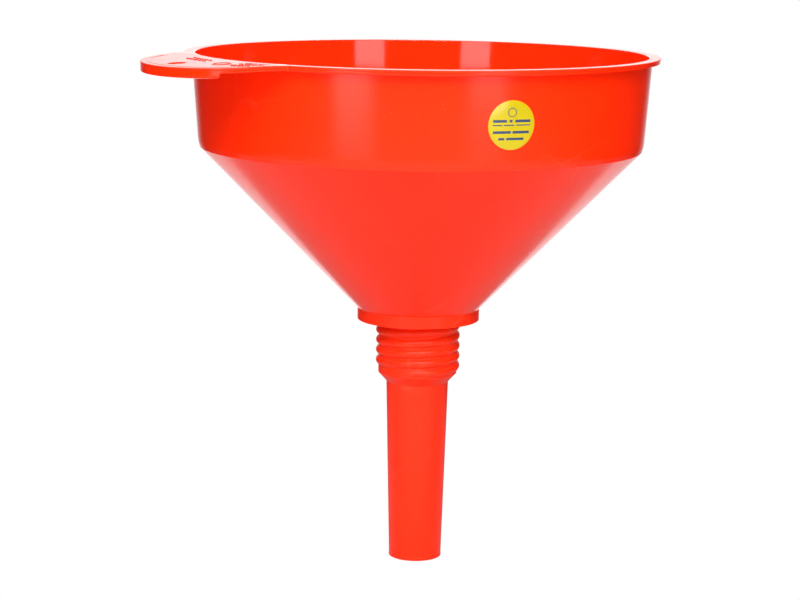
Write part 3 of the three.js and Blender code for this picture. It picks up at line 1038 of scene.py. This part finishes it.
def round_the_funnel(azimuth, distance, height):
    """A place in metres; azimuth is in degrees to the right of the camera's side."""
    angle = CAMERA_TURN + math.radians(azimuth)
    return Vector((distance * math.sin(angle), -distance * math.cos(angle), height))


def turned_to(place, aim):
    return (aim - place).to_track_quat("-Z", "Y").to_euler()


def lamp_panel(name, place, rotation, width, tall, power):
    """A rectangular lamp; the camera doesn't see it."""
    data = bpy.data.lights.new(name, "AREA")
    data.shape, data.size, data.size_y, data.energy = "RECTANGLE", width, tall, power
    lamp = add_object(name, data)
    lamp.location = place
    lamp.rotation_euler = rotation
    lamp.visible_camera = False


def soft_box(name, azimuth, distance, width, power):
    """A tall panel that faces the funnel; the upright walls mirror it as a band."""
    place = round_the_funnel(azimuth, distance, SOFT_BOX_MIDDLE)
    rotation = turned_to(place, Vector((0, 0, SOFT_BOX_MIDDLE)))
    lamp_panel(name, place, rotation, width, SOFT_BOX_TALL, power)


def floor_card():
    """A dim panel on the floor in front of the funnel, which lights the cone from below."""
    place = round_the_funnel(0, FLOOR_CARD_FORWARD, (FLOOR_Z + 1) * MM)
    lamp_panel("floor_card", place, (math.pi, 0, CAMERA_TURN), *FLOOR_CARD_SIZE, FLOOR_CARD_POWER)


def high_lamp(name, azimuth, distance, height, size, power):
    """A broad square lamp above, aimed at the origin, in the middle of the collar's foot."""
    place = round_the_funnel(azimuth, distance, height)
    lamp_panel(name, place, turned_to(place, Vector((0, 0, 0))), size, size, power)


def make_world():
    """White to the camera. As light it is a white sweep behind the funnel that fades to both sides,
    a lower part where the sweep runs under the funnel, and a dim room all round."""
    world = bpy.data.worlds.new("studio")
    bpy.context.scene.world = world
    world.use_nodes = True
    tree = world.node_tree
    tree.nodes.clear()

    def add(kind, *sources, **settings):
        node = tree.nodes.new(kind)
        for key, value in settings.items():
            setattr(node, key, value)
        for socket, source in zip(node.inputs, sources):
            if hasattr(source, "is_output"):
                tree.links.new(source, socket)
            elif source is not None:
                socket.default_value = source
        return node.outputs[0]

    direction = tree.nodes.new("ShaderNodeTexCoord").outputs["Generated"]
    level_part = add("ShaderNodeVectorMath", direction, (1, 1, 0), operation="MULTIPLY")
    level = add("ShaderNodeVectorMath", level_part, operation="NORMALIZE")

    def share_behind(turn, low, high):
        """0 to 1 as the cosine of the angle to a direction behind the funnel goes from low to high."""
        dot = tree.nodes.new("ShaderNodeVectorMath")
        dot.operation = "DOT_PRODUCT"
        dot.inputs[1].default_value = Matrix.Rotation(turn, 3, "Z") @ Vector((0, 1, 0))
        tree.links.new(level, dot.inputs[0])
        return add("ShaderNodeMapRange", dot.outputs["Value"], low, high, 0.0, 1.0)

    behind = share_behind(CAMERA_TURN, SWEEP_EDGE, 1.0)
    peaked = add("ShaderNodeMath", behind, SWEEP_FALLOFF, operation="POWER")
    step = add("ShaderNodeMath", behind, 0.001, operation="GREATER_THAN")
    edge = add("ShaderNodeMath", step, SWEEP_EDGE_LIGHT, operation="MULTIPLY")
    sweep = add("ShaderNodeMath", peaked, SWEEP_LIGHT, edge, operation="MULTIPLY_ADD")
    parts = tree.nodes.new("ShaderNodeSeparateXYZ")
    tree.links.new(direction, parts.inputs[0])
    sunk = add("ShaderNodeMapRange", parts.outputs["Z"], *SWEEP_DIP, 0.0, 1.0)
    spread = share_behind(CAMERA_TURN - SWEEP_UNDER_TURN, *SWEEP_UNDER_EDGES)
    under = add("ShaderNodeMath", sunk, spread, operation="MULTIPLY")
    both = add("ShaderNodeMath", under, SWEEP_UNDER_LIGHT, sweep, operation="MULTIPLY_ADD")
    strength = add("ShaderNodeMath", both, ROOM_LIGHT, operation="ADD")
    lit = add("ShaderNodeBackground", (1, 1, 1, 1), strength)
    seen = add("ShaderNodeBackground", (1, 1, 1, 1), 1.0)
    seen_by_camera = tree.nodes.new("ShaderNodeLightPath").outputs["Is Camera Ray"]
    mixed = add("ShaderNodeMixShader", seen_by_camera, lit, seen)
    out = tree.nodes.new("ShaderNodeOutputWorld")
    tree.links.new(mixed, out.inputs["Surface"])


def make_floor():
    """An oval of white floor, plain white to the camera."""
    n = Nodes("white_floor")
    tone = n.ramp(n.noise(3, 2), 0.3, 0.7)
    n.set(Base_Color=n.mix(tone, (0.43, 0.43, 0.43), (0.47, 0.47, 0.47)), Roughness=0.9)
    material = n.white_to_the_camera()
    mesh = bpy.data.meshes.new("floor")
    turn = Matrix.Rotation(CAMERA_TURN, 3, "Z")
    edge = []
    for angle in turns(0, TAU, 96)[:-1]:
        across = FLOOR_HALF_WIDTH * math.cos(angle)
        along = FLOOR_HALF_DEPTH * math.sin(angle) - FLOOR_FORWARD
        edge.append(tuple(turn @ Vector((across, along, FLOOR_Z * MM))))
    mesh.from_pydata(edge, [], [tuple(range(len(edge)))])
    mesh.materials.append(material)
    floor = add_object("floor", mesh)


place_camera()
make_world()
make_floor()
soft_box("soft_box_left", azimuth=-31, distance=0.70, width=0.21, power=3.4)
soft_box("soft_box_right", azimuth=30.2, distance=0.80, width=0.24, power=3.9)
floor_card()
high_lamp("key_light", azimuth=0, distance=1.35, height=1.35, size=1.0, power=44)
high_lamp("side_light_left", azimuth=-100, distance=1.1, height=0.9, size=0.8, power=3.2)
high_lamp("side_light_right", azimuth=100, distance=1.1, height=0.9, size=0.8, power=2.3)
high_lamp("top_light", azimuth=0, distance=0, height=1.4, size=1.4, power=5)
bpy.context.scene.view_settings.view_transform = "Standard"

make_bowl()
make_tab_marks()
make_spout()
make_seal()
make_strainer_rim()
make_gauze()
make_lug("lug_left", -1, "bail_lug_left")
make_lug("lug_right", 1, "bail_lug_right")
make_bail()
make_label()
